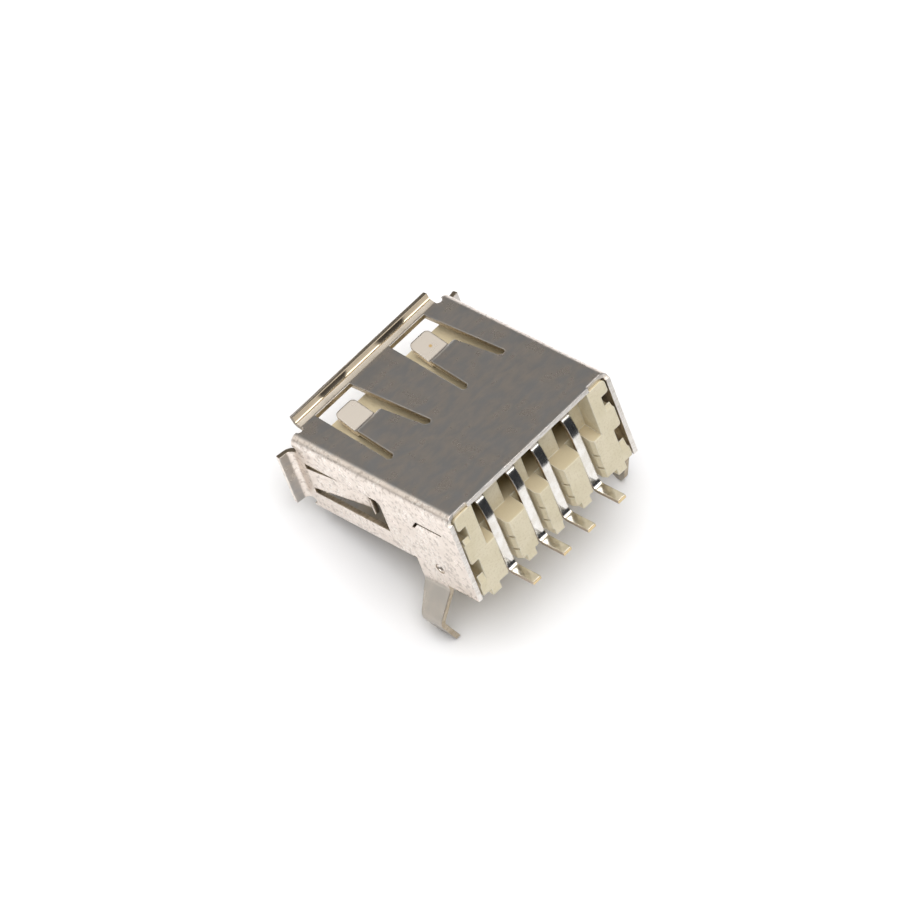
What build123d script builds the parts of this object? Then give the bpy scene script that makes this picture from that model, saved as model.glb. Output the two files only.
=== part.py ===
"""Right-angle type A receptacle for a printed board, in millimetres.

A folded metal shell holds a moulded housing, and four formed strips run from under
the housing's tongue down to flat tails behind it. The origin lies on the board's
surface, midway between the two solder legs. +Z leaves the board, the mouth opens
towards -Y and the tails point to +Y.
"""

import os

from build123d import *

# Shell: strip, mouth and lengths
sheet = 0.30
mouth_width = 12.50
mouth_height = 5.12
fold_radius = 0.25
shell_length = 12.85
floor_length = 8.00
wall_notch_length = 0.30
skirt_gap = 0.40
wall_notch_depth = 5.25
corner_step = 0.14
corner_step_width = 1.60

# Shell: height of its bottom wall above the board
shell_stands = 1.18

# Shell: flared lips round the mouth, long ones above and below, short ones at the sides
lip_setback = 1.05
long_lip_radius = 0.55
long_lip_run = 0.05
short_lip_radius = 0.38
short_lip_run = 0.50
lip_angle = 80.0
relief_radius = 0.24

# Shell: windows and spring fingers in the top and bottom walls
finger_spacing = 6.08
window_start = 0.05
window_length = 6.45
window_front_width = 2.84
window_rear_width = 3.50
window_corner = 0.22
finger_root_width = 2.56
finger_crease_width = 1.95
finger_crease_corner = 0.15
finger_neck_width = 1.62
finger_tip_width = 1.50
finger_tip_corner = 0.30
finger_crease_at = 3.00
finger_crease_drop = 0.12
finger_dip_at = 2.54
finger_dip = 0.64
finger_tip_at = 0.90
finger_strip_end_drop = 0.03
finger_bend = 0.28

# Shell: windows and spring fingers in the side walls
side_window_start = 0.55
side_window_length = 6.10
side_window_height = 2.35
side_window_corner = 0.30
side_finger_root = 1.55
side_finger_end = 1.20
side_finger_corner = 0.25
side_finger_dip_at = 4.90
side_finger_dip = 0.50
side_finger_tip_at = 5.52
side_finger_tip_dip = 0.19
side_finger_bend = 0.45

# Shell: lance, dimple and solder leg in each side wall
lance_from_rear = 3.75
lance_length = 2.10
lance_lead = 0.50
lance_top_depth = 1.75
lance_hinge_depth = 2.35
lance_gap = 0.20
lance_reach = 0.30
dimple_from_rear = 2.63
dimple_depth = 5.20
dimple_radius = 0.45
dimple_sink = 0.22
dimple_hole = 0.14
leg_width = 2.06
leg_kink_width = 1.58
leg_tip_width = 1.24
leg_straight_end = -0.05
leg_kink_out = 1.30
leg_kink_height = -1.85
leg_strip_end_out = 0.38
leg_tip_height = -3.80
leg_bend = 0.45
leg_tip_corner = 0.28

# Contacts: strip, pitch and path
contact_width = 0.60
contact_sheet = 0.22
outer_contact = 3.50
inner_contact = 1.00
contact_crown_depth = 1.40
contact_crown_radius = 0.50
contact_back_at_crown = 0.93
contact_back_at_tail = 0.52
contact_tail_reach = 1.55
contact_tail_bend = 0.45
contact_form_bend = 0.30
contact_ramp_top_from_rear = 2.55
contact_ramp_foot_from_rear = 3.75
contact_bump_at = 3.20
contact_bump = 0.07
contact_tip_at = 1.20
contact_tip_rise = 0.17
contact_clearance = 0.03

# Housing: tongue, body and rear blocks
fit = 0.03
tongue_width = 11.10
tongue_start = 0.10
tongue_top_depth = 1.05
tongue_thickness = 1.85
tongue_chamfer = 0.35
groove_width = 0.80
groove_depth = 0.46
groove_start = 0.85
body_length = 3.85
body_gap = 0.50
toe_clearance = 0.08
rear_recess = 1.25
channel_wide_side = 0.92
channel_deep = 1.40
ledge_depth_inner = 3.28
ledge_depth_outer = 3.52
ledge_round = 0.08
slot_half_width = 0.475
slot_bevel_width = 0.13
slot_bevel_length = 0.28
slit_depth = 4.70
slit_spacing = 0.98
slit_height = 0.15
slit_length = 0.50
slit_reach = 0.16
tower_inner = 4.72
side_gap = 0.12
tower_corner = 0.30
notch_depth = 0.57
notch_ease = 0.10
upper_notch_top = 1.28
upper_notch_bottom = 2.43
lower_notch_top = 3.92
lower_notch_bottom = 5.62
lower_notch_deep = 1.20
notch_slope_upper = 0.32
notch_slope_lower = 0.60
notch_slope_run = 0.15
foot_length = 1.60
foot_width = 0.66
outer_foot_at = 5.17

# Places that follow from the sizes
shell_width = mouth_width + 2 * sheet
shell_height = mouth_height + 2 * sheet
half_mouth = mouth_width / 2
half_shell = shell_width / 2
top_height = shell_stands + shell_height
fold_outside = fold_radius + sheet
long_lip = shell_width - 2 * lip_setback
short_lip = shell_height - 2 * lip_setback
body_start = shell_length - body_length
skirt_start = floor_length + wall_notch_length
front_y = -(skirt_start + leg_width / 2)
rear_y = front_y + shell_length
mid_z = top_height - shell_height / 2
mouth_middle = Plane.XY.offset(mid_z)
all_contacts = (-outer_contact, -inner_contact, inner_contact, outer_contact)
overshoot = 0.5


def behind(distance):
    """Y of a place that lies this far behind the front line of the walls."""
    return front_y + distance


def below(depth):
    """Z of a place that lies this deep below the shell's top face."""
    return top_height - depth


def flared_lip(plane, length, radius, run):
    """A lip that rolls outwards from a wall; the plane's X points rearwards and its Y out of the wall."""
    with BuildPart() as lip:
        with BuildSketch(plane):
            with BuildLine():
                outside = CenterArc((0, radius), radius, -90, -lip_angle)
                inside = CenterArc((0, radius), radius + sheet, -90, -lip_angle)
                outside_run = Line(outside @ 1, outside @ 1 + (outside % 1) * run)
                inside_run = Line(inside @ 1, inside @ 1 + (inside % 1) * run)
                Line(outside_run @ 1, inside_run @ 1)
                Line(outside @ 0, inside @ 0)
            make_face()
        extrude(amount=length)
    return lip.part


# One window and one spring finger of the top wall, on the +X side
window_x = finger_spacing / 2
window_end = window_start + window_length
with BuildPart() as top_window:
    with BuildSketch(Plane.XY.offset(top_height - sheet - overshoot)):
        with BuildLine():
            Polyline(
                (window_x - window_front_width / 2, behind(window_start)),
                (window_x + window_front_width / 2, behind(window_start)),
                (window_x + window_rear_width / 2, behind(window_end)),
                (window_x - window_rear_width / 2, behind(window_end)),
                close=True,
            )
        rear_corners = make_face().vertices().group_by(Axis.Y)[-1]
        fillet(rear_corners, radius=window_corner)
    extrude(amount=sheet + 2 * overshoot)

with BuildPart() as top_finger:
    with BuildSketch(Plane.YZ.offset(window_x)):
        with BuildLine():
            FilletPolyline(
                (behind(window_end + sheet), below(sheet / 2)),
                (behind(window_end), below(sheet / 2)),
                (behind(finger_crease_at), below(sheet / 2 + finger_crease_drop)),
                (behind(finger_dip_at), below(sheet / 2 + finger_dip)),
                (behind(finger_tip_at - sheet), below(sheet / 2 + finger_strip_end_drop)),
                radius=finger_bend,
            )
        trace(line_width=sheet)
    extrude(amount=window_rear_width / 2, both=True)
    # The outline seen from above trims the strip: wide root, shoulders at the crease, narrow tip
    with BuildSketch(Plane.XY.offset(top_height - shell_height / 2)):
        with BuildLine():
            Polyline(
                (window_x - finger_tip_width / 2, behind(finger_tip_at)),
                (window_x - finger_neck_width / 2, behind(finger_dip_at)),
                (window_x - finger_crease_width / 2, behind(finger_crease_at)),
                (window_x - finger_root_width / 2, behind(window_end - window_corner)),
                (window_x - window_rear_width / 2, behind(window_end + sheet)),
                (window_x + window_rear_width / 2, behind(window_end + sheet)),
                (window_x + finger_root_width / 2, behind(window_end - window_corner)),
                (window_x + finger_crease_width / 2, behind(finger_crease_at)),
                (window_x + finger_neck_width / 2, behind(finger_dip_at)),
                (window_x + finger_tip_width / 2, behind(finger_tip_at)),
                close=True,
            )
        shoulders = make_face().vertices().group_by(Axis.Y)[2]
        fillet(shoulders, radius=finger_crease_corner)
        fillet(vertices().group_by(Axis.Y)[0], radius=finger_tip_corner)
    extrude(amount=shell_height, mode=Mode.INTERSECT)

# One spring finger of the side wall at +X, bent into the mouth with its end turned out
with BuildPart() as side_finger:
    with BuildSketch(Plane.XY.offset(mid_z)):
        with BuildLine():
            FilletPolyline(
                (half_mouth + sheet / 2, behind(side_window_start - sheet)),
                (half_mouth + sheet / 2, behind(side_window_start)),
                (half_mouth + sheet / 2 - side_finger_dip, behind(side_finger_dip_at)),
                (half_mouth + sheet / 2 - side_finger_tip_dip, behind(side_finger_tip_at)),
                radius=side_finger_bend,
            )
        trace(line_width=sheet)
    extrude(amount=side_finger_root / 2, both=True)
    with BuildSketch(Plane.YZ):
        with BuildLine():
            Polyline(
                (behind(side_window_start - sheet), mid_z - side_finger_root / 2),
                (behind(side_finger_tip_at), mid_z - side_finger_end / 2),
                (behind(side_finger_tip_at), mid_z + side_finger_end / 2),
                (behind(side_window_start - sheet), mid_z + side_finger_root / 2),
                close=True,
            )
        tip_corners = make_face().vertices().group_by(Axis.Y)[-1]
        fillet(tip_corners, radius=side_finger_corner)
    extrude(amount=shell_width, mode=Mode.INTERSECT)

# One lance of the side wall at +X: a slanted slot, and its flap hinged below and pushed inwards
with BuildPart() as lance_slot:
    with BuildSketch(Plane.YZ.offset(half_mouth - overshoot)):
        with BuildLine():
            Polyline(
                (rear_y - lance_from_rear, below(lance_hinge_depth)),
                (rear_y - lance_from_rear + lance_lead, below(lance_top_depth)),
                (rear_y - lance_from_rear + lance_lead + lance_length, below(lance_top_depth)),
                (rear_y - lance_from_rear + lance_length, below(lance_hinge_depth)),
                close=True,
            )
        make_face()
    extrude(amount=sheet + 2 * overshoot)
with BuildPart() as lance:
    with BuildSketch(Plane.XZ):
        with BuildLine():
            Polyline(
                (half_shell, below(lance_hinge_depth)),
                (half_shell - lance_reach, below(lance_top_depth + lance_gap)),
                (half_mouth - lance_reach, below(lance_top_depth + lance_gap)),
                (half_mouth, below(lance_hinge_depth)),
                close=True,
            )
        make_face()
    extrude(amount=shell_length, both=True)
    add(lance_slot.part.moved(Location((0, lance_gap, 0))), mode=Mode.INTERSECT)

# One dimple of the side wall at +X, as the tool that sinks it
with BuildPart() as dimple:
    with BuildSketch(Plane.XY):
        with BuildLine():
            Polyline(
                (-overshoot, 0),
                (-overshoot, dimple_hole),
                (sheet - dimple_sink, dimple_hole),
                (sheet, dimple_radius),
                (sheet + overshoot, dimple_radius + overshoot),
                (sheet + overshoot, 0),
                close=True,
            )
        make_face()
    revolve(axis=Axis.X)

# One solder leg at +X: out to a kink under the board and back in again, narrower towards its tip
with BuildPart() as solder_leg:
    with BuildSketch(Plane.XZ):
        with BuildLine():
            FilletPolyline(
                (half_mouth + sheet / 2, skirt_gap + sheet),
                (half_mouth + sheet / 2, leg_straight_end),
                (half_mouth + sheet / 2 + leg_kink_out, leg_kink_height),
                (half_mouth + sheet / 2 + leg_strip_end_out, leg_tip_height - sheet),
                radius=leg_bend,
            )
        trace(line_width=sheet)
    extrude(amount=leg_width / 2, both=True)
    with BuildSketch(Plane.YZ):
        with BuildLine():
            Polyline(
                (-leg_width / 2, skirt_gap + sheet),
                (-leg_width / 2, leg_straight_end),
                (-leg_kink_width / 2, leg_kink_height),
                (-leg_tip_width / 2, leg_tip_height),
                (leg_tip_width / 2, leg_tip_height),
                (leg_kink_width / 2, leg_kink_height),
                (leg_width / 2, leg_straight_end),
                (leg_width / 2, skirt_gap + sheet),
                close=True,
            )
        tip_corners = make_face().vertices().group_by(Axis.Y)[0]
        fillet(tip_corners, radius=leg_tip_corner)
    extrude(amount=shell_width, mode=Mode.INTERSECT)

# The shell
with BuildPart() as shell:
    with BuildSketch(Plane.XZ.offset(-front_y)):
        with Locations((0, mid_z)):
            RectangleRounded(shell_width, shell_height, fold_outside)
            RectangleRounded(mouth_width, mouth_height, fold_radius, mode=Mode.SUBTRACT)
    extrude(amount=-floor_length)
    # Behind the bottom wall the side walls hang down as skirts, with a notch at their front
    skirt_height = top_height - skirt_gap
    with BuildSketch(Plane.XZ.offset(-behind(floor_length))):
        with Locations((0, skirt_gap)):
            RectangleRounded(shell_width, 2 * skirt_height, fold_outside)
            RectangleRounded(mouth_width, 2 * (skirt_height - sheet), fold_radius, mode=Mode.SUBTRACT)
            Rectangle(shell_width, skirt_height, align=(Align.CENTER, Align.MAX), mode=Mode.SUBTRACT)
    extrude(amount=-(shell_length - floor_length))
    with Locations((0, behind(floor_length), below(wall_notch_depth))):
        Box(
            shell_width,
            skirt_start - floor_length,
            skirt_height - wall_notch_depth,
            align=(Align.CENTER, Align.MIN, Align.MAX),
            mode=Mode.SUBTRACT,
        )

    # Windows and fingers, the same in the top and the bottom wall
    right_window = top_window.part
    for tool in (right_window, mirror(right_window, about=Plane.YZ, mode=Mode.PRIVATE)):
        add(tool, mode=Mode.SUBTRACT)
        mirror(tool, about=mouth_middle, mode=Mode.SUBTRACT)
    right_finger = top_finger.part
    for piece in (right_finger, mirror(right_finger, about=Plane.YZ, mode=Mode.PRIVATE)):
        add(piece)
        mirror(piece, about=mouth_middle)

    # Side windows go through both side walls at once
    with BuildSketch(Plane.YZ.offset(-half_shell)):
        with Locations((behind(side_window_start), mid_z)):
            window = Rectangle(side_window_length, side_window_height, align=(Align.MIN, Align.CENTER))
        fillet(window.vertices().group_by(Axis.X)[-1].sort_by(Axis.Y)[-1], radius=side_window_corner)
    extrude(amount=shell_width, mode=Mode.SUBTRACT)

    # Lance slots, dimples, side fingers, lances and legs, the same in both side walls
    dimple_place = Location((half_mouth, rear_y - dimple_from_rear, below(dimple_depth)))
    for tool in (lance_slot.part, dimple.part.moved(dimple_place)):
        add(tool, mode=Mode.SUBTRACT)
        mirror(tool, about=Plane.YZ, mode=Mode.SUBTRACT)
    for piece in (side_finger.part, lance.part, solder_leg.part):
        add(piece)
        mirror(piece, about=Plane.YZ)

    # Flared lips, and a round relief at each end of them
    top_lip_plane = Plane(origin=(-long_lip / 2, front_y, top_height), x_dir=(0, 1, 0), z_dir=(1, 0, 0))
    top_lip = flared_lip(top_lip_plane, long_lip, long_lip_radius, long_lip_run)
    side_lip_plane = Plane(origin=(half_shell, front_y, mid_z + short_lip / 2), x_dir=(0, 1, 0), z_dir=(0, 0, -1))
    side_lip = flared_lip(side_lip_plane, short_lip, short_lip_radius, short_lip_run)
    add(top_lip)
    mirror(top_lip, about=mouth_middle)
    add(side_lip)
    mirror(side_lip, about=Plane.YZ)
    relief_x = long_lip / 2 + relief_radius
    relief_z = short_lip / 2 + relief_radius
    with Locations((relief_x, front_y, mid_z), (-relief_x, front_y, mid_z)):
        Cylinder(relief_radius, shell_height, mode=Mode.SUBTRACT)
    side_reliefs = [Location((0, front_y, mid_z + side * relief_z), (0, 90, 0)) for side in (-1, 1)]
    with Locations(*side_reliefs):
        Cylinder(relief_radius, shell_width, mode=Mode.SUBTRACT)

    # The corners stand back a little at the rear
    for side in (Align.MIN, Align.MAX):
        corner_x = -half_shell if side == Align.MIN else half_shell
        with Locations((corner_x, rear_y, top_height)):
            corner_align = (side, Align.MAX, Align.MAX)
            Box(corner_step_width, corner_step, fold_outside, align=corner_align, mode=Mode.SUBTRACT)


def contact_path():
    """Middle line of a contact's strip, from the tip under the tongue to the tail, in the YZ plane."""
    tongue_bottom = below(tongue_top_depth + tongue_thickness)
    half = contact_sheet / 2
    bend = contact_form_bend
    FilletPolyline(
        (behind(contact_tip_at), tongue_bottom + half + contact_tip_rise),
        (behind(contact_bump_at), tongue_bottom + half - contact_bump),
        (rear_y - contact_ramp_foot_from_rear, tongue_bottom + half + contact_clearance),
        (rear_y - contact_ramp_top_from_rear, below(contact_crown_depth + half)),
        (rear_y - contact_back_at_crown, below(contact_crown_depth + half)),
        (rear_y - contact_back_at_tail, half),
        (rear_y + contact_tail_reach, half),
        radius=(bend, bend, bend, contact_crown_radius, contact_tail_bend),
    )


# The four contacts, from -X to +X
contact_names = ("contact_power", "contact_data_minus", "contact_data_plus", "contact_ground")
contacts = []
for contact_x in all_contacts:
    with BuildPart() as contact:
        with BuildSketch(Plane.YZ.offset(contact_x)):
            with BuildLine():
                contact_path()
            trace(line_width=contact_sheet)
        extrude(amount=contact_width / 2, both=True)
    contacts.append(contact.part)

# The housing
body_half = half_mouth - fit
block_half = half_mouth - side_gap
with BuildPart() as housing:
    # Body behind the mouth, with a toe below the bottom wall's rear edge
    with BuildSketch(Plane.YZ.offset(-body_half)):
        with BuildLine():
            Polyline(
                (behind(body_start), below(sheet + fit)),
                (rear_y - rear_recess, below(sheet + fit)),
                (rear_y - rear_recess, body_gap),
                (behind(floor_length + toe_clearance), body_gap),
                (behind(floor_length + toe_clearance), below(shell_height - sheet)),
                (behind(body_start), below(shell_height - sheet)),
                close=True,
            )
        make_face()
    extrude(amount=2 * body_half)
    top_edges = edges().filter_by(Axis.Y).group_by(Axis.Z)[-1]
    fillet(top_edges, radius=fold_radius + fit)

    # Tongue with a bevelled nose
    with BuildSketch(Plane.YZ.offset(-tongue_width / 2)):
        tongue_length = body_start + overshoot - tongue_start
        with Locations((behind(tongue_start), below(tongue_top_depth))):
            tongue_section = Rectangle(tongue_length, tongue_thickness, align=(Align.MIN, Align.MAX))
        chamfer(tongue_section.vertices().group_by(Axis.X)[0], length=tongue_chamfer)
    extrude(amount=tongue_width)

    # Channels round the contacts' upper ends, open at the rear and at the top, wider on the +X side
    with BuildSketch(Plane.XY.offset(below(ledge_depth_inner))):
        with Locations(*[(x - slot_half_width, rear_y - rear_recess) for x in all_contacts]):
            Rectangle(slot_half_width + channel_wide_side, channel_deep, align=(Align.MIN, Align.MAX))
    extrude(amount=ledge_depth_inner, mode=Mode.SUBTRACT)

    # Rear blocks: one ledge across the back, a tower at each end, and slots for the contacts
    with BuildSketch(Plane.YZ.offset(-block_half)):
        with BuildLine():
            Polyline(
                (rear_y - rear_recess, below(ledge_depth_inner)),
                (rear_y, below(ledge_depth_outer)),
                (rear_y, body_gap),
                (rear_y - rear_recess, body_gap),
                close=True,
            )
        ledge_section = make_face()
        fillet(ledge_section.vertices().group_by(Axis.X)[-1].sort_by(Axis.Y)[-1], radius=ledge_round)
    extrude(amount=2 * block_half)
    with BuildSketch(Plane.XZ.offset(-rear_y)):
        with Locations((tower_inner, below(sheet + fit))):
            tower = Rectangle(block_half - tower_inner, ledge_depth_outer - sheet, align=(Align.MIN, Align.MAX))
            fillet(tower.vertices().sort_by(Axis.X)[-2:].sort_by(Axis.Y)[-1], radius=tower_corner)
        mirror(about=Plane.YZ)
    extrude(amount=rear_recess)
    # Slots with bevelled mouths, and fine slits in their walls
    slot_mouth = 2 * (slot_half_width + slot_bevel_width)
    with BuildSketch(Plane.XY.offset(body_gap)):
        with Locations(*[(x, rear_y) for x in all_contacts]):
            Rectangle(2 * slot_half_width, rear_recess, align=(Align.CENTER, Align.MAX))
        for contact_x in all_contacts:
            with BuildLine():
                Polyline(
                    (contact_x - slot_half_width, rear_y - slot_bevel_length),
                    (contact_x + slot_half_width, rear_y - slot_bevel_length),
                    (contact_x + slot_mouth / 2, rear_y),
                    (contact_x - slot_mouth / 2, rear_y),
                    close=True,
                )
            make_face()
    extrude(amount=below(ledge_depth_inner) - body_gap, mode=Mode.SUBTRACT)
    with BuildSketch(Plane.XZ.offset(-rear_y)):
        slit_levels = (slit_depth, slit_depth + slit_spacing)
        with Locations(*[(x, below(level)) for x in all_contacts for level in slit_levels]):
            Rectangle(2 * (slot_half_width + slit_reach), slit_height)
    extrude(amount=slit_length, mode=Mode.SUBTRACT)

    # Notches in the sides, with eased outer corners; the upper one also takes the shell's lance
    notch_inner = block_half - notch_depth
    for roof, floor, deep in (
        (upper_notch_top, upper_notch_bottom, shell_length),
        (lower_notch_top, lower_notch_bottom, lower_notch_deep),
    ):
        with BuildSketch(Plane.XZ.offset(-rear_y)):
            with BuildLine():
                Polyline(
                    (half_mouth, below(roof - notch_ease)),
                    (block_half, below(roof - notch_ease)),
                    (block_half - notch_ease, below(roof)),
                    (notch_inner, below(roof)),
                    (notch_inner, below(floor)),
                    (block_half - notch_ease, below(floor)),
                    (block_half, below(floor + notch_ease)),
                    (half_mouth, below(floor + notch_ease)),
                    close=True,
                )
            make_face()
            mirror(about=Plane.YZ)
        extrude(amount=deep, mode=Mode.SUBTRACT)
    # A steep slope closes the foot of each notch at the rear
    for floor, slope in ((upper_notch_bottom, notch_slope_upper), (lower_notch_bottom, notch_slope_lower)):
        with BuildSketch(Plane.YZ.offset(notch_inner)):
            with BuildLine():
                Polyline(
                    (rear_y, below(floor)),
                    (rear_y - notch_slope_run, below(floor - slope)),
                    (rear_y - 3 * notch_slope_run, below(floor)),
                    close=True,
                )
            make_face()
        slope_piece = extrude(amount=notch_depth - notch_ease)
        mirror(slope_piece, about=Plane.YZ)

    # Feet under the blocks
    block_middle = (outer_contact + inner_contact) / 2
    with BuildSketch(Plane.XY.offset(body_gap)):
        with Locations(*[(x, rear_y) for x in (-outer_foot_at, -block_middle, 0, block_middle, outer_foot_at)]):
            Rectangle(foot_width, foot_length, align=(Align.CENTER, Align.MAX))
    extrude(amount=-body_gap)

    # Passages and open grooves for the contacts
    for contact_x in all_contacts:
        with BuildSketch(Plane.YZ.offset(contact_x)):
            with BuildLine():
                contact_path()
            trace(line_width=contact_sheet + 2 * contact_clearance)
        extrude(amount=contact_width / 2 + contact_clearance, both=True, mode=Mode.SUBTRACT)
    with BuildSketch(Plane.XY.offset(below(tongue_top_depth + tongue_thickness))):
        with Locations(*[(x, behind(groove_start)) for x in all_contacts]):
            Rectangle(groove_width, body_start - groove_start, align=(Align.CENTER, Align.MIN))
    extrude(amount=groove_depth, mode=Mode.SUBTRACT)

os.makedirs("parts", exist_ok=True)
shell.part.label = "shell"
export_step(shell.part, "parts/shell.step")
housing.part.label = "housing"
export_step(housing.part, "parts/housing.step")
for contact_name, contact_part in zip(contact_names, contacts):
    contact_part.label = contact_name
    export_step(contact_part, f"parts/{contact_name}.step")
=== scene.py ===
import bmesh
import bpy
from math import atan2, copysign, cos, degrees, hypot, radians, sin
from mathutils import Matrix, Vector


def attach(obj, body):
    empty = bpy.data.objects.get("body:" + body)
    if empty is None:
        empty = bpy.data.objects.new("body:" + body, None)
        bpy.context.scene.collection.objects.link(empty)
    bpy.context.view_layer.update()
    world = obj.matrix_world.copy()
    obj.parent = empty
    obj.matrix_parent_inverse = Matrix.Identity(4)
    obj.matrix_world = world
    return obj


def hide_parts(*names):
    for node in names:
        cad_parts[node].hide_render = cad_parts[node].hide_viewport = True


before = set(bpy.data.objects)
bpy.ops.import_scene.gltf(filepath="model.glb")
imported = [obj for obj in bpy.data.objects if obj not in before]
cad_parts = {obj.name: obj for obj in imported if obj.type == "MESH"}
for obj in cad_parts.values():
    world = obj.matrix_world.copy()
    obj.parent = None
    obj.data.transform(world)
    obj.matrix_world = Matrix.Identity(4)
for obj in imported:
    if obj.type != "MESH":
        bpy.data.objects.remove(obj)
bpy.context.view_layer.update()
mm = 0.001

# The shell: one strip of thin steel, blanked, folded into a tube and plated with nickel.
# The spring fingers, the flared lips and the solder legs belong to the strip. Its faces are
# satin with fine pits and scratches, and its sheared edges are rougher.


def new_group(name, inputs, outputs):
    """An empty node group with the named sockets, and its two end nodes."""
    group = bpy.data.node_groups.new(name, "ShaderNodeTree")
    for label, kind, value in inputs:
        socket = group.interface.new_socket(label, in_out="INPUT", socket_type=kind)
        if value is not None:
            socket.default_value = value
    for label, kind in outputs:
        group.interface.new_socket(label, in_out="OUTPUT", socket_type=kind)
    return group, group.nodes.new("NodeGroupInput"), group.nodes.new("NodeGroupOutput")


def join(tree, value, socket):
    """Links a socket to another, or writes a number or colour on it."""
    if hasattr(value, "links"):
        tree.links.new(value, socket)
    else:
        socket.default_value = value


def add_math(tree, operation, a, b=0.0):
    """A Math node on two sockets or numbers."""
    node = tree.nodes.new("ShaderNodeMath")
    node.operation = operation
    join(tree, a, node.inputs[0])
    join(tree, b, node.inputs[1])
    return node.outputs[0]


def add_ramp(tree, value, low, high):
    """A value that goes smoothly from 0 at low to 1 at high."""
    node = tree.nodes.new("ShaderNodeMapRange")
    node.interpolation_type = "SMOOTHSTEP"
    node.inputs["From Min"].default_value = low
    node.inputs["From Max"].default_value = high
    join(tree, value, node.inputs["Value"])
    return node.outputs["Result"]


def add_noise(tree, place, scale, detail=2.0, stretch=(1, 1, 1), distortion=0.0):
    """Noise over the object's own place; scale is in waves per metre."""
    mapping = tree.nodes.new("ShaderNodeMapping")
    mapping.inputs["Scale"].default_value = stretch
    join(tree, place, mapping.inputs["Vector"])
    noise = tree.nodes.new("ShaderNodeTexNoise")
    noise.inputs["Scale"].default_value = scale
    noise.inputs["Detail"].default_value = detail
    noise.inputs["Distortion"].default_value = distortion
    tree.links.new(mapping.outputs[0], noise.inputs["Vector"])
    return noise.outputs["Fac"]


def add_mix(tree, factor, a, b):
    """Mixes two colours; each is a socket or a colour."""
    node = tree.nodes.new("ShaderNodeMix")
    node.data_type = "RGBA"
    join(tree, factor, node.inputs[0])
    join(tree, a, node.inputs[6])
    join(tree, b, node.inputs[7])
    return node.outputs[2]


def add_axes(tree, vector):
    """The X, Y and Z sockets of a vector."""
    node = tree.nodes.new("ShaderNodeSeparateXYZ")
    join(tree, vector, node.inputs[0])
    return node.outputs


def add_group(tree, group, links, **values):
    """Places a node group in a material, with its own links and values."""
    node = tree.nodes.new("ShaderNodeGroup")
    node.node_tree = group
    for label, value in list(links.items()) + list(values.items()):
        join(tree, value, node.inputs[label])
    return node.outputs


def new_material(name):
    """A material with a Principled BSDF; place and facing are the object's own coordinates."""
    material = bpy.data.materials.new(name)
    material.use_nodes = True
    tree = material.node_tree
    shader = tree.nodes["Principled BSDF"]
    coordinates = tree.nodes.new("ShaderNodeTexCoord")
    return material, tree, shader, coordinates.outputs["Object"], coordinates.outputs["Normal"]


def add_lean(tree, normal, amount):
    """A normal that leans upwards by an amount."""
    up = tree.nodes.new("ShaderNodeCombineXYZ")
    join(tree, amount, up.inputs["Z"])
    total = tree.nodes.new("ShaderNodeVectorMath")
    total.operation = "ADD"
    tree.links.new(normal, total.inputs[0])
    tree.links.new(up.outputs[0], total.inputs[1])
    even = tree.nodes.new("ShaderNodeVectorMath")
    even.operation = "NORMALIZE"
    tree.links.new(total.outputs[0], even.inputs[0])
    return even.outputs[0]


def add_bump(tree, shader, height, distance, strength, normal):
    """Relief on the surface, over a normal that already rounds its edges."""
    bump = tree.nodes.new("ShaderNodeBump")
    bump.inputs["Strength"].default_value = strength
    bump.inputs["Distance"].default_value = distance
    tree.links.new(height, bump.inputs["Height"])
    tree.links.new(normal, bump.inputs["Normal"])
    tree.links.new(bump.outputs["Normal"], shader.inputs["Normal"])


# Edges that a tool or a mould leaves slightly round: the normal there, and where they are
soft_edge, _, edge_out = new_group(
    "soft_edge",
    [],
    [("Normal", "NodeSocketVector"), ("Mask", "NodeSocketFloat")],
)
bevel = soft_edge.nodes.new("ShaderNodeBevel")
bevel.samples = 4
bevel.inputs["Radius"].default_value = 0.10 * mm
soft_edge.links.new(bevel.outputs["Normal"], edge_out.inputs["Normal"])
true_normal = soft_edge.nodes.new("ShaderNodeNewGeometry").outputs["Normal"]
turned = soft_edge.nodes.new("ShaderNodeVectorMath")
turned.operation = "DOT_PRODUCT"
soft_edge.links.new(bevel.outputs["Normal"], turned.inputs[0])
soft_edge.links.new(true_normal, turned.inputs[1])
soft_edge.links.new(add_ramp(soft_edge, turned.outputs["Value"], 0.99, 0.85), edge_out.inputs["Mask"])

# Rolled sheet: clouds, dark pits, light flecks in patches that are painted glints, and a grain wiped
# along it
rolled, rolled_in, rolled_out = new_group(
    "rolled_sheet",
    [("Place", "NodeSocketVector", None), ("Base", "NodeSocketColor", (0.7, 0.65, 0.6, 1)),
     ("Cloud", "NodeSocketColor", (0.6, 0.58, 0.56, 1)), ("Roughness", "NodeSocketFloat", 0.28),
     ("Pits_and_glints", "NodeSocketFloat", 0.3)],
    [("Color", "NodeSocketColor"), ("Roughness", "NodeSocketFloat"), ("Height", "NodeSocketFloat")],
)
at = rolled_in.outputs["Place"]
cloud = add_ramp(rolled, add_noise(rolled, at, 1300, 3.0, (0.6, 1, 1), 0.2), 0.28, 0.72)
pit = add_noise(rolled, at, 4200, 4.0, (1, 1, 1), 0.2)
patch = add_ramp(rolled, add_noise(rolled, at, 700, 3.0), 0.40, 0.62)
fleck = add_ramp(rolled, add_noise(rolled, at, 7000, 2.0), 0.50, 0.60)
fleck = add_math(rolled, "MULTIPLY", fleck, patch)
wipe = add_noise(rolled, at, 2600, 3.0, (1, 0.12, 1), 0.2)
pit_dark = add_math(rolled, "MULTIPLY", add_ramp(rolled, pit, 0.50, 0.34), rolled_in.outputs["Pits_and_glints"])
# The light flecks are painted glints: sparkles of the plating painted into its colour
fleck_painted_glint = add_math(rolled, "MULTIPLY", fleck, rolled_in.outputs["Pits_and_glints"])
plain = add_mix(rolled, cloud, rolled_in.outputs["Base"], rolled_in.outputs["Cloud"])
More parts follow.
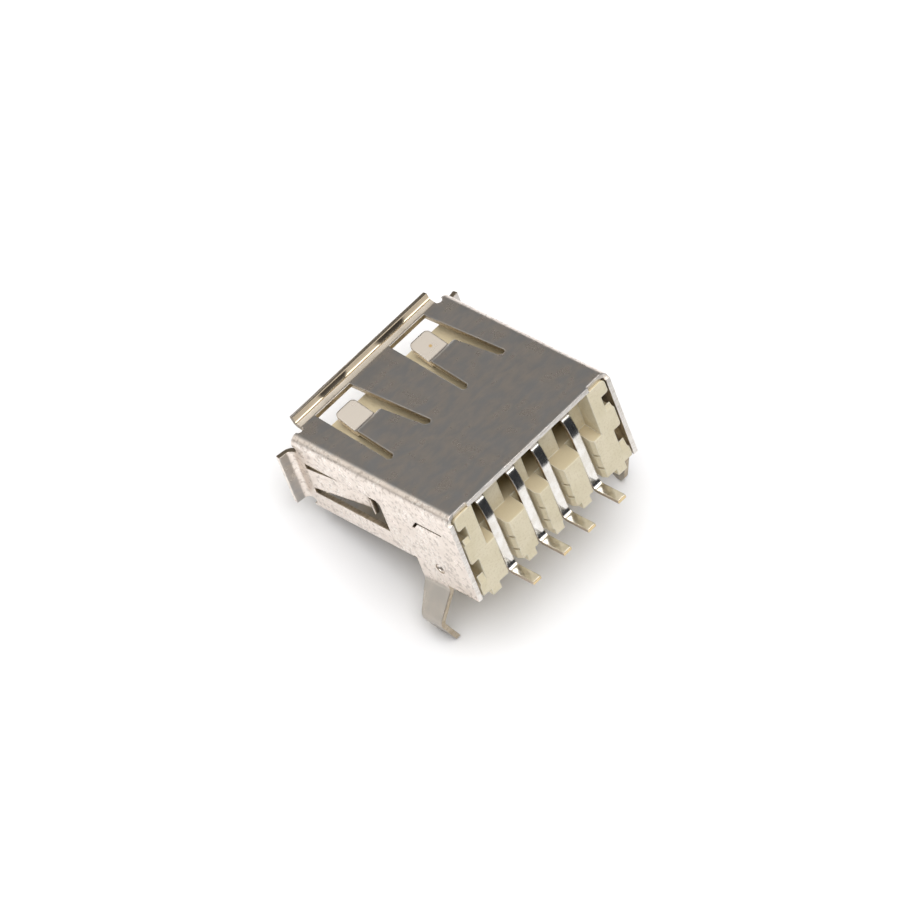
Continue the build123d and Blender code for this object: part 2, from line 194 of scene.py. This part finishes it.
lit = add_mix(rolled, fleck_painted_glint, plain, (1.0, 0.98, 0.93, 1))
rolled.links.new(add_mix(rolled, pit_dark, lit, (0.34, 0.29, 0.25, 1)), rolled_out.inputs["Color"])
rough = rolled_in.outputs["Roughness"]
for wear, share in ((cloud, 0.05), (wipe, 0.06)):
    rough = add_math(rolled, "ADD", rough, add_math(rolled, "MULTIPLY", wear, share))
rolled.links.new(rough, rolled_out.inputs["Roughness"])
pitted = add_math(rolled, "ADD", pit, add_math(rolled, "MULTIPLY", wipe, 0.4))
rolled.links.new(pitted, rolled_out.inputs["Height"])

shell_metal, tree, shader, place, facing = new_material("shell_metal")
x, y, z = add_axes(tree, place)
far_x = add_math(tree, "ABSOLUTE", x)
flat_x, flat_y, flat_z = (add_math(tree, "ABSOLUTE", n) for n in add_axes(tree, facing))

# The walls' outer faces, the sheet's thickness, and the line where the walls meet the lips
top_z, bottom_z, side_x = 6.90 * mm, 1.18 * mm, 6.55 * mm
sheet = 0.30 * mm
front_y = -9.33 * mm


def is_over(value, limit):
    return add_math(tree, "GREATER_THAN", value, limit)


def is_under(value, limit):
    return add_math(tree, "LESS_THAN", value, limit)


def all_of(*masks):
    total = masks[0]
    for mask in masks[1:]:
        total = add_math(tree, "MULTIPLY", total, mask)
    return total


def any_of(*masks):
    total = masks[0]
    for mask in masks[1:]:
        total = add_math(tree, "MAXIMUM", total, mask)
    return total


# The sheared edges: faces that stand across the sheet, in each wall, the legs and the lips
in_sheet = 1.03 * sheet
leg_top, leg_tip = 0.35 * mm, -3.6 * mm
across_x = add_ramp(tree, flat_x, 0.40, 0.35)
across_z = add_ramp(tree, flat_z, 0.40, 0.35)
inside_folds = is_under(far_x, side_x - 2 * sheet)
in_wall = is_over(far_x, side_x - in_sheet)
in_top = all_of(across_z, inside_folds, is_over(z, top_z - in_sheet))
in_floor = all_of(across_z, inside_folds, is_under(z, bottom_z + in_sheet))
in_side = all_of(across_x, in_wall, is_under(far_x, side_x + 0.01 * mm))
in_leg = all_of(is_over(flat_y, 0.9), is_under(z, leg_top), in_wall)
at_leg_tip = all_of(is_over(flat_z, 0.9), is_under(z, leg_tip))
lip = is_under(y, front_y - 0.01 * mm)
facing_x, facing_z = is_over(flat_x, 0.96), is_over(flat_z, 0.96)
lip_edge = all_of(lip, any_of(
    all_of(facing_z, is_over(far_x, side_x)),
    all_of(facing_x, is_under(far_x, side_x)),
    all_of(facing_x, is_over(far_x, side_x + 1.1 * mm)),
    all_of(facing_z, is_over(z, top_z + 0.45 * mm)),
))
sheared = any_of(in_top, in_floor, in_side, in_leg, at_leg_tip, lip_edge)

# The top face is calmer than the folded sides, and the legs and the fingers' tips are plain. The
# sides are painted lighter than the top, a painted reflection, the fingers' curled tips are painted
# darker as painted shade, and the legs are coloured darker
on_side = add_ramp(tree, flat_x, 0.10, 0.45)
on_leg = add_ramp(tree, z, leg_top, -0.05 * mm)
off_leg = add_math(tree, "SUBTRACT", 1.0, on_leg)
pits_and_glints = add_math(tree, "MULTIPLY", add_math(tree, "MULTIPLY", on_side, 0.48), off_leg)
edges = add_group(tree, soft_edge, {})
# Painted reflection: the sides are painted lighter than the top
side_painted_lighter = add_math(tree, "MULTIPLY", on_side, off_leg)
strip = add_group(
    tree, rolled,
    {"Place": place, "Pits_and_glints": pits_and_glints,
     "Base": add_mix(tree, side_painted_lighter, (0.61, 0.555, 0.50, 1), (0.86, 0.775, 0.70, 1)),
     "Cloud": add_mix(tree, side_painted_lighter, (0.455, 0.45, 0.445, 1), (0.78, 0.70, 0.63, 1))},
    Roughness=0.24,
)
legs = add_mix(tree, add_math(tree, "MULTIPLY", on_leg, 0.7), strip["Color"], (0.42, 0.38, 0.32, 1))
on_lip = all_of(lip, is_under(far_x, side_x - sheet))
# Painted shade: the fingers' curled tips are painted darker
tips_y, tips_z = -6.9 * mm, 6.0 * mm
on_tip = all_of(is_under(y, tips_y), is_over(flat_y, 0.12), is_over(z, tips_z))
body_color = add_mix(tree, on_tip, legs, (0.50, 0.45, 0.39, 1))
# Painted reflection: the lips are painted lighter than the top face
body_color = add_mix(tree, on_lip, body_color, (0.74, 0.66, 0.55, 1))

# The long lips carry painted shade in the bend and a gold painted reflection on the roll beyond it.
# The roll is wavy, with a run that catches the light every 4.76 mm, and its rim carries a painted
# highlight, a bright line.
bend_start, roll_start = 0.32, 0.88
radians_a_metre = 1320.0
on_roll = all_of(on_lip, is_over(flat_y, roll_start))
bend_painted_shade = all_of(on_lip, is_over(flat_y, bend_start), is_under(flat_y, roll_start))
# Painted reflection on the roll, and painted shade in the bend
body_color = add_mix(tree, on_roll, body_color, (0.95, 0.81, 0.58, 1))
body_color = add_mix(tree, bend_painted_shade, body_color, (0.17, 0.125, 0.075, 1))
wave = add_math(tree, "COSINE", add_math(tree, "MULTIPLY", x, radians_a_metre))
ragged = add_noise(tree, place, 900, 3.0, (1, 0.3, 0.3))
wave = add_math(tree, "ADD", wave, add_math(tree, "MULTIPLY", ragged, 0.8))
bright_run = add_ramp(tree, wave, -0.1, 0.7)
run_lean = add_math(tree, "ADD", 0.26, add_math(tree, "MULTIPLY", bright_run, 0.50))
middle_z = 4.04 * mm
rim_from_middle = 3.29 * mm
from_middle = add_math(tree, "ABSOLUTE", add_math(tree, "SUBTRACT", z, middle_z))
lip_rim = all_of(on_roll, is_over(from_middle, rim_from_middle))
# Painted highlight along the rim
body_color = add_mix(tree, lip_rim, body_color, (0.98, 0.95, 0.88, 1))
lean_up = add_math(tree, "MULTIPLY", on_roll, add_math(tree, "MAXIMUM", run_lean, lip_rim))

# A tiny rust spot on one spring finger
spot_at = (-3.10 * mm, -7.50 * mm, 6.55 * mm)
spot_edge, spot_core = 0.16 * mm, 0.06 * mm
spot = tree.nodes.new("ShaderNodeVectorMath")
spot.operation = "DISTANCE"
tree.links.new(place, spot.inputs[0])
spot.inputs[1].default_value = spot_at
rusty = add_ramp(tree, spot.outputs["Value"], spot_edge, spot_core)
body_color = add_mix(tree, rusty, body_color, (0.45, 0.30, 0.12, 1))

# Where the sheet was sheared it is torn and light at the rear, burnished brown in the
# windows, and darkest round the lips
torn = add_noise(tree, place, 6000, 3.0, (0.3, 1, 1), 1.0)
tear = add_ramp(tree, torn, 0.35, 0.6)
rear_y = 3.3 * mm
at_rear = is_over(y, rear_y)
torn_color = add_mix(tree, tear, (0.80, 0.75, 0.69, 1), (0.95, 0.91, 0.86, 1))
burnished = add_mix(tree, tear, (0.40, 0.33, 0.24, 1), (0.52, 0.45, 0.35, 1))
cut_color = add_mix(tree, at_rear, burnished, torn_color)
cut_color = add_mix(tree, lip, cut_color, (0.23, 0.19, 0.14, 1))
tree.links.new(add_mix(tree, sheared, body_color, cut_color), shader.inputs["Base Color"])
shader.inputs["Metallic"].default_value = 1.0
cut_rough = add_math(tree, "MULTIPLY", sheared, 0.12)
lip_smooth = add_math(tree, "MULTIPLY", on_lip, -0.08)
rough = add_math(tree, "ADD", strip["Roughness"], add_math(tree, "ADD", cut_rough, lip_smooth))
tree.links.new(rough, shader.inputs["Roughness"])

# The relief is strongest on the sides and at the cuts. The lips have none, and no soft edges.
uneven = add_math(tree, "ADD", 0.05, add_math(tree, "MULTIPLY", on_side, 0.75))
uneven = add_math(tree, "MULTIPLY", uneven, is_over(y, front_y))
torn_relief = add_math(tree, "MULTIPLY", sheared, add_math(tree, "MULTIPLY", torn, 0.5))
relief = add_math(tree, "MULTIPLY", strip["Height"], uneven)
relief = add_math(tree, "ADD", relief, torn_relief)
surface = tree.nodes.new("ShaderNodeMix")
surface.data_type = "VECTOR"
tree.links.new(on_lip, surface.inputs[0])
tree.links.new(edges["Normal"], surface.inputs[4])
tree.links.new(tree.nodes.new("ShaderNodeNewGeometry").outputs["Normal"], surface.inputs[5])
add_bump(tree, shader, relief, 0.010 * mm, 0.5, add_lean(tree, surface.outputs[1], lean_up))


def formed_copy(node):
    """A CAD node's solid as one closed mesh, to be formed further."""
    work = bmesh.new()
    work.from_mesh(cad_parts[node].data)
    bmesh.ops.remove_doubles(work, verts=work.verts, dist=0.0001 * mm)
    return work


def cut_along(work, inside, place, normal):
    """Adds a line of points where a plane crosses the faces that lie inside a region."""
    faces = [face for face in work.faces if all(inside(vert.co) for vert in face.verts)]
    parts = set(faces)
    for face in faces:
        parts.update(face.edges)
        parts.update(face.verts)
    bmesh.ops.bisect_plane(work, geom=list(parts), dist=0.00001 * mm, plane_co=place, plane_no=normal)


# A fold turns less than this from face to face, and a lance bends sharply at its hinge
fold_step = radians(28)
hinge_z = 4.55 * mm
touch = 0.001 * mm


def add_formed(work, name, node, material):
    """Hands a formed mesh over as the piece that stands for its CAD node."""
    for edge in work.edges:
        hinge = all(abs(vert.co.z - hinge_z) < touch for vert in edge.verts)
        edge.smooth = edge.calc_face_angle(0.0) < fold_step and not hinge
    mesh = bpy.data.meshes.new(name)
    work.to_mesh(mesh)
    work.free()
    mesh.shade_smooth()
    mesh.materials.append(material)
    piece = bpy.data.objects.new(name, mesh)
    bpy.context.scene.collection.objects.link(piece)
    evened = piece.modifiers.new("even_normals", "WEIGHTED_NORMAL")
    evened.keep_sharp = True
    evened.weight = 100
    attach(piece, "root")
    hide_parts(node)
    return piece


# A long lip leaves the wall in a gentle slope, then turns up sharply and rolls on. Each
# stretch is its length in mm, and the slopes in degrees at its start and its end. The lip
# in the CAD model is drawn as one arc with a short straight run.
lip_stretches = ((0.06, 0, 15.3), (0.32, 15.3, 16.3), (0.07, 16.3, 66), (0.37, 66, 80))
drawn_radius, drawn_angle, drawn_run = 0.55, 80.0, 0.05
thickness = sheet / mm
drawn_length = drawn_radius * radians(drawn_angle) + drawn_run
lip_length = sum(length for length, _, _ in lip_stretches)
half_height = top_z - middle_z
hair = 0.0001 * mm
steps = 400


def lip_slope(distance):
    """Slope in degrees at a distance along the lip's outer face."""
    for length, start, end in lip_stretches:
        if distance <= length:
            return start + (end - start) * distance / length
        distance -= length
    return lip_stretches[-1][2]


lip_line = [(0.0, 0.0)]
for step in range(steps):
    slope = radians(lip_slope((step + 0.5) * lip_length / steps))
    out, up = lip_line[-1]
    lip_line.append((out + cos(slope) * lip_length / steps, up + sin(slope) * lip_length / steps))


def on_long_lip(co):
    """The side lips end well short of the height where a long lip starts."""
    return co.y < front_y + hair and abs(co.z - middle_z) > 2.3 * mm


def roll_lip(vert):
    """Moves a point of a drawn lip to its place on the rolled one."""
    side = 1 if vert.co.z > middle_z else -1
    out = (front_y - vert.co.y) / mm
    up = (side * (vert.co.z - middle_z) - half_height) / mm
    turned_by = degrees(atan2(out, drawn_radius - up))
    depth = hypot(out, drawn_radius - up) - drawn_radius
    if turned_by > drawn_angle + 0.01:
        distance = drawn_length
        depth = thickness if depth > thickness / 2 else 0.0
    else:
        distance = drawn_radius * radians(turned_by)
    for skin in (0.0, thickness):
        if abs(depth - skin) < thickness / 20:
            depth = skin
    along_line = distance / drawn_length
    slope = radians(lip_slope(along_line * lip_length))
    line_out, line_up = lip_line[round(along_line * steps)]
    new_out = line_out + depth * sin(slope)
    new_up = line_up - depth * cos(slope)
    vert.co.y = front_y - new_out * mm
    vert.co.z = middle_z + side * (half_height + new_up * mm)


lip_slices = 40
work = formed_copy("shell")
for side in (1, -1):
    axis = Vector((0, front_y, middle_z + side * (half_height + drawn_radius * mm)))
    for step in range(1, lip_slices):
        turn = radians(step * drawn_angle / lip_slices)
        cut_along(work, on_long_lip, axis, Vector((0, -cos(turn), side * sin(turn))))
for vert in work.verts:
    if vert.co.y < front_y - hair and on_long_lip(vert.co):
        roll_lip(vert)

# The dimples are punched steeply: their rims are narrower than drawn, and their floors deeper
dimple_y, dimple_z = 0.89 * mm, 1.70 * mm
dimple_radius, dimple_hole, near = 0.45 * mm, 0.14 * mm, 0.01 * mm
dimple_floor_x = side_x - 0.22 * mm
rim_share, deeper = 0.76, 0.06 * mm
for vert in work.verts:
    reach_y, reach_z = vert.co.y - dimple_y, vert.co.z - dimple_z
    reach = hypot(reach_y, reach_z)
    if abs(reach - dimple_radius) < near and abs(abs(vert.co.x) - side_x) < near:
        vert.co.y, vert.co.z = dimple_y + reach_y * rim_share, dimple_z + reach_z * rim_share
    if abs(reach - dimple_hole) < near and abs(abs(vert.co.x) - dimple_floor_x) < near:
        vert.co.x -= copysign(deeper, vert.co.x)

# The lances stand almost flush, with their upper edges just inside the walls' faces
lance_z, lance_front, lance_move = 4.95 * mm, -0.5 * mm, 0.25 * mm
lance_low_x, lance_high_x = 5.9 * mm, 6.3 * mm
for vert in work.verts:
    on_edge_line = abs(vert.co.z - lance_z) < touch and vert.co.y > lance_front
    if on_edge_line and lance_low_x < abs(vert.co.x) < lance_high_x:
        vert.co.x += copysign(lance_move, vert.co.x)
add_formed(work, "shell_formed", "shell", shell_metal)

# The housing: glass-filled plastic, moulded in its natural ivory in one shot.
# Its faces are matte with a fine flow pattern, and its sharp moulded edges catch the light, with a
# painted highlight on them.
housing_plastic, tree, shader, place, facing = new_material("housing_plastic")
mottle = add_ramp(tree, add_noise(tree, place, 600, 4.0, (1, 1, 1), 0.6), 0.3, 0.7)
grain = add_noise(tree, place, 9000, 3.0)
edges = add_group(tree, soft_edge, {})
moulded = add_mix(tree, mottle, (0.83, 0.75, 0.56, 1), (0.76, 0.68, 0.48, 1))
speck = add_ramp(tree, add_noise(tree, place, 8000, 3.0), 0.52, 0.30)
speck = add_math(tree, "MULTIPLY", speck, 0.35)
moulded = add_mix(tree, speck, moulded, (0.60, 0.50, 0.31, 1))
# Painted shade: faces that look up, on the ledges, are painted darker
ledge_painted_shade = add_ramp(tree, add_axes(tree, facing)[2], 0.5, 0.9)
ledge_painted_shade = add_math(tree, "MULTIPLY", ledge_painted_shade, 0.85)
moulded = add_mix(tree, ledge_painted_shade, moulded, (0.58, 0.485, 0.31, 1))
# Painted highlight: the moulded edges are painted lighter
edge_painted_highlight = add_math(tree, "MULTIPLY", edges["Mask"], 0.8)
edge_highlighted = add_mix(tree, edge_painted_highlight, moulded, (0.96, 0.92, 0.80, 1))

# The walls of the channels round the contacts darken towards the channels' ends: painted shade in the
# recesses behind the contacts
along_body = add_axes(tree, place)[1]
channel_mouth, channel_end, body_front = 2.30 * mm, 0.90 * mm, -0.33 * mm
deep = add_ramp(tree, along_body, channel_mouth, channel_end)
behind_front = add_ramp(tree, along_body, body_front - 0.12 * mm, body_front)
channel_painted_shade = add_math(tree, "MULTIPLY", deep, behind_front)
ivory_with_painted_shade = add_mix(tree, channel_painted_shade, edge_highlighted, (0.32, 0.24, 0.11, 1))
tree.links.new(ivory_with_painted_shade, shader.inputs["Base Color"])
matte = add_math(tree, "ADD", 0.36, add_math(tree, "MULTIPLY", grain, 0.18))
tree.links.new(matte, shader.inputs["Roughness"])
add_bump(tree, shader, grain, 0.012 * mm, 0.4, edges["Normal"])
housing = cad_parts["housing"]
housing.data.materials.clear()
housing.data.materials.append(housing_plastic)

# The contacts: four strips of copper alloy, blanked, formed and plated bright with tin.
# The plating is missing at the cut ends of the tails, where the alloy shows yellow.
contact_metal, tree, shader, place, facing = new_material("contact_metal")
tail_end_y = 5.05 * mm
sideways, rearwards, _ = add_axes(tree, facing)
tail_end = all_of(is_over(add_axes(tree, place)[1], tail_end_y), is_over(rearwards, 0.5))
on_edge = add_ramp(tree, add_math(tree, "ABSOLUTE", sideways), 0.5, 0.8)
drawn = add_noise(tree, place, 5000, 3.0, (1, 0.05, 0.05))
cloudy = add_noise(tree, place, 2500, 3.0, (1, 1, 1), 0.2)
edges = add_group(tree, soft_edge, {})
cloudy = add_ramp(tree, cloudy, 0.35, 0.65)
plated = add_mix(tree, cloudy, (0.84, 0.82, 0.78, 1), (0.74, 0.71, 0.65, 1))
blanked = add_mix(tree, on_edge, plated, (0.52, 0.42, 0.33, 1))
strip_color = add_mix(tree, tail_end, blanked, (0.72, 0.56, 0.32, 1))
tree.links.new(strip_color, shader.inputs["Base Color"])
shader.inputs["Metallic"].default_value = 1.0
rough = add_math(tree, "ADD", 0.10, add_math(tree, "MULTIPLY", drawn, 0.12))
rough = add_math(tree, "ADD", rough, add_math(tree, "MULTIPLY", on_edge, 0.2))
tree.links.new(rough, shader.inputs["Roughness"])
add_bump(tree, shader, drawn, 0.004 * mm, 0.4, edges["Normal"])


# The part of a strip that stands upright behind the housing
upright_y, upright_low, upright_high = 2.0 * mm, 0.3 * mm, 5.1 * mm


def on_upright(co):
    return co.y > upright_y and upright_low < co.z < upright_high


# Behind the crown the strip leans and straightens slowly, so it is bowed to the rear
bow_top, bow_end, strip_foot = 5.00, 4.05, 0.60
lean = 0.25
bow_slices = 30


def bow_at(height):
    """How far to the rear the strip is bowed at a height, both in mm."""
    if height > bow_top:
        return 0.0
    full = lean * (bow_top - bow_end) / 2
    if height > bow_end:
        return full * (1 - ((height - bow_end) / (bow_top - bow_end)) ** 2)
    return full * max(height - strip_foot, 0.0) / (bow_end - strip_foot)


for name in ("contact_power", "contact_data_minus", "contact_data_plus", "contact_ground"):
    work = formed_copy(name)
    for step in range(1, bow_slices):
        level = strip_foot + (bow_top - strip_foot) * step / bow_slices
        cut_along(work, on_upright, Vector((0, 0, level * mm)), Vector((0, 0, 1)))
    for vert in work.verts:
        if vert.co.y > upright_y:
            vert.co.y += bow_at(vert.co.z / mm) * mm
    add_formed(work, name + "_formed", name, contact_metal)

# The table: the part lies on white board, tipped forward on its front lip and its legs.
# So the board is the plane through those three places, and not the printed board's plane.
floor_up = Vector((-0.00914, 0.392119, 0.919869)).normalized()
floor_drop = 3.4247 * mm
floor_point = floor_up * -floor_drop
along = Vector((-0.999876, -0.015397, -0.003372)).normalized()
across = floor_up.cross(along)
table = Matrix((
    (along.x, across.x, floor_up.x, floor_point.x),
    (along.y, across.y, floor_up.y, floor_point.y),
    (along.z, across.z, floor_up.z, floor_point.z),
    (0, 0, 0, 1),
))


def add_plane(name, low_corner, high_corner, place):
    """A flat oblong sheet that belongs to the studio, not to the part."""
    (x1, y1), (x2, y2) = low_corner, high_corner
    mesh = bpy.data.meshes.new(name)
    mesh.from_pydata([(x1, y1, 0), (x2, y1, 0), (x2, y2, 0), (x1, y2, 0)], [], [(0, 1, 2, 3)])
    plane = bpy.data.objects.new(name, mesh)
    bpy.context.scene.collection.objects.link(plane)
    plane.matrix_world = place
    return plane


board_half = 0.6
floor = add_plane("floor", (-board_half, -board_half), (board_half, board_half), table)
floor_white, tree, shader, place, facing = new_material("floor_white")
shader.inputs["Roughness"].default_value = 0.8
shader.inputs["Specular IOR Level"].default_value = 0.2
shader.inputs["Base Color"].default_value = (0.93, 0.93, 0.94, 1)
behind = tree.nodes.new("ShaderNodeNewGeometry").outputs["Backfacing"]
clear = tree.nodes.new("ShaderNodeBsdfTransparent")
either = tree.nodes.new("ShaderNodeMixShader")
tree.links.new(behind, either.inputs[0])
tree.links.new(shader.outputs[0], either.inputs[1])
tree.links.new(clear.outputs[0], either.inputs[2])
tree.links.new(either.outputs[0], tree.nodes["Material Output"].inputs["Surface"])
floor.data.materials.append(floor_white)

# A black card stands behind the tails, just outside the picture, so that the bright
# metal shows dark lines along its bends. Only reflections see it.
card_at, card_half, card_high = 38 * mm, 60 * mm, 70 * mm
card_way = (along * 0.366 - across * 0.930).normalized()
card_side = floor_up.cross(card_way)
card_foot = floor_point + card_way * card_at
card_place = Matrix((
    (card_side.x, floor_up.x, card_way.x, card_foot.x),
    (card_side.y, floor_up.y, card_way.y, card_foot.y),
    (card_side.z, floor_up.z, card_way.z, card_foot.z),
    (0, 0, 0, 1),
))
card = add_plane("black_card", (-card_half, 0), (card_half, card_high), card_place)
card.visible_camera = False
card.visible_diffuse = False
card.visible_shadow = False
card_black, tree, shader, place, facing = new_material("card_black")
shader.inputs["Base Color"].default_value = (0.02, 0.022, 0.028, 1)
shader.inputs["Roughness"].default_value = 0.9
card.data.materials.append(card_black)

# The studio: a wide softbox overhead, a grey room that is lighter beyond the mouth's
# corner and dark at the horizon and behind the tails.
world = bpy.data.worlds.new("studio")
bpy.context.scene.world = world
world.use_nodes = True
tree = world.node_tree
sky = tree.nodes["Background"]
toward = tree.nodes.new("ShaderNodeTexCoord").outputs["Generated"]


def add_facing(direction, of):
    """How far a direction points along another, from -1 to 1."""
    node = tree.nodes.new("ShaderNodeVectorMath")
    node.operation = "DOT_PRODUCT"
    node.inputs[1].default_value = of
    tree.links.new(direction, node.inputs[0])
    return node.outputs["Value"]


height = add_facing(toward, floor_up)
tails_side = (across * -0.92 + along * 0.38).normalized()
corner_side = Vector((0.30, -0.64, 0.70)).normalized()
overhead = add_ramp(tree, height, 0.740, 0.870)
dark_wall = add_ramp(tree, add_facing(toward, tails_side), 0.55, 0.85)
light_wall = add_ramp(tree, add_facing(toward, corner_side), 0.82, 0.97)
horizon = add_ramp(tree, height, 0.14, 0.05)
room = add_mix(tree, light_wall, (0.26, 0.25, 0.24, 1), (0.95, 0.92, 0.88, 1))
room = add_mix(tree, dark_wall, room, (0.030, 0.031, 0.034, 1))
room = add_mix(tree, horizon, room, (0.04, 0.038, 0.036, 1))
tree.links.new(add_mix(tree, overhead, room, (3.1, 3.1, 3.1, 1)), sky.inputs["Color"])
sky.inputs["Strength"].default_value = 1.0

# The camera: the photograph's own view, from far off and above the tails.
right = Vector((-0.675474, 0.683340, -0.277095))
down = Vector((0.637373, 0.352105, -0.685404))
ahead = Vector((-0.370797, -0.639585, -0.673380))
eye = Vector((171.916, 292.032, 314.630)) * mm
lens = bpy.data.cameras.new("camera")
lens.lens = 331.9
lens.sensor_width = 36
lens.clip_start = 0.01
lens.clip_end = 10
camera = bpy.data.objects.new("camera", lens)
bpy.context.scene.collection.objects.link(camera)
camera.matrix_world = Matrix((
    (right.x, -down.x, -ahead.x, eye.x),
    (right.y, -down.y, -ahead.y, eye.y),
    (right.z, -down.z, -ahead.z, eye.z),
    (0, 0, 0, 1),
))
bpy.context.scene.camera = camera
bpy.context.scene.view_settings.view_transform = "Standard"
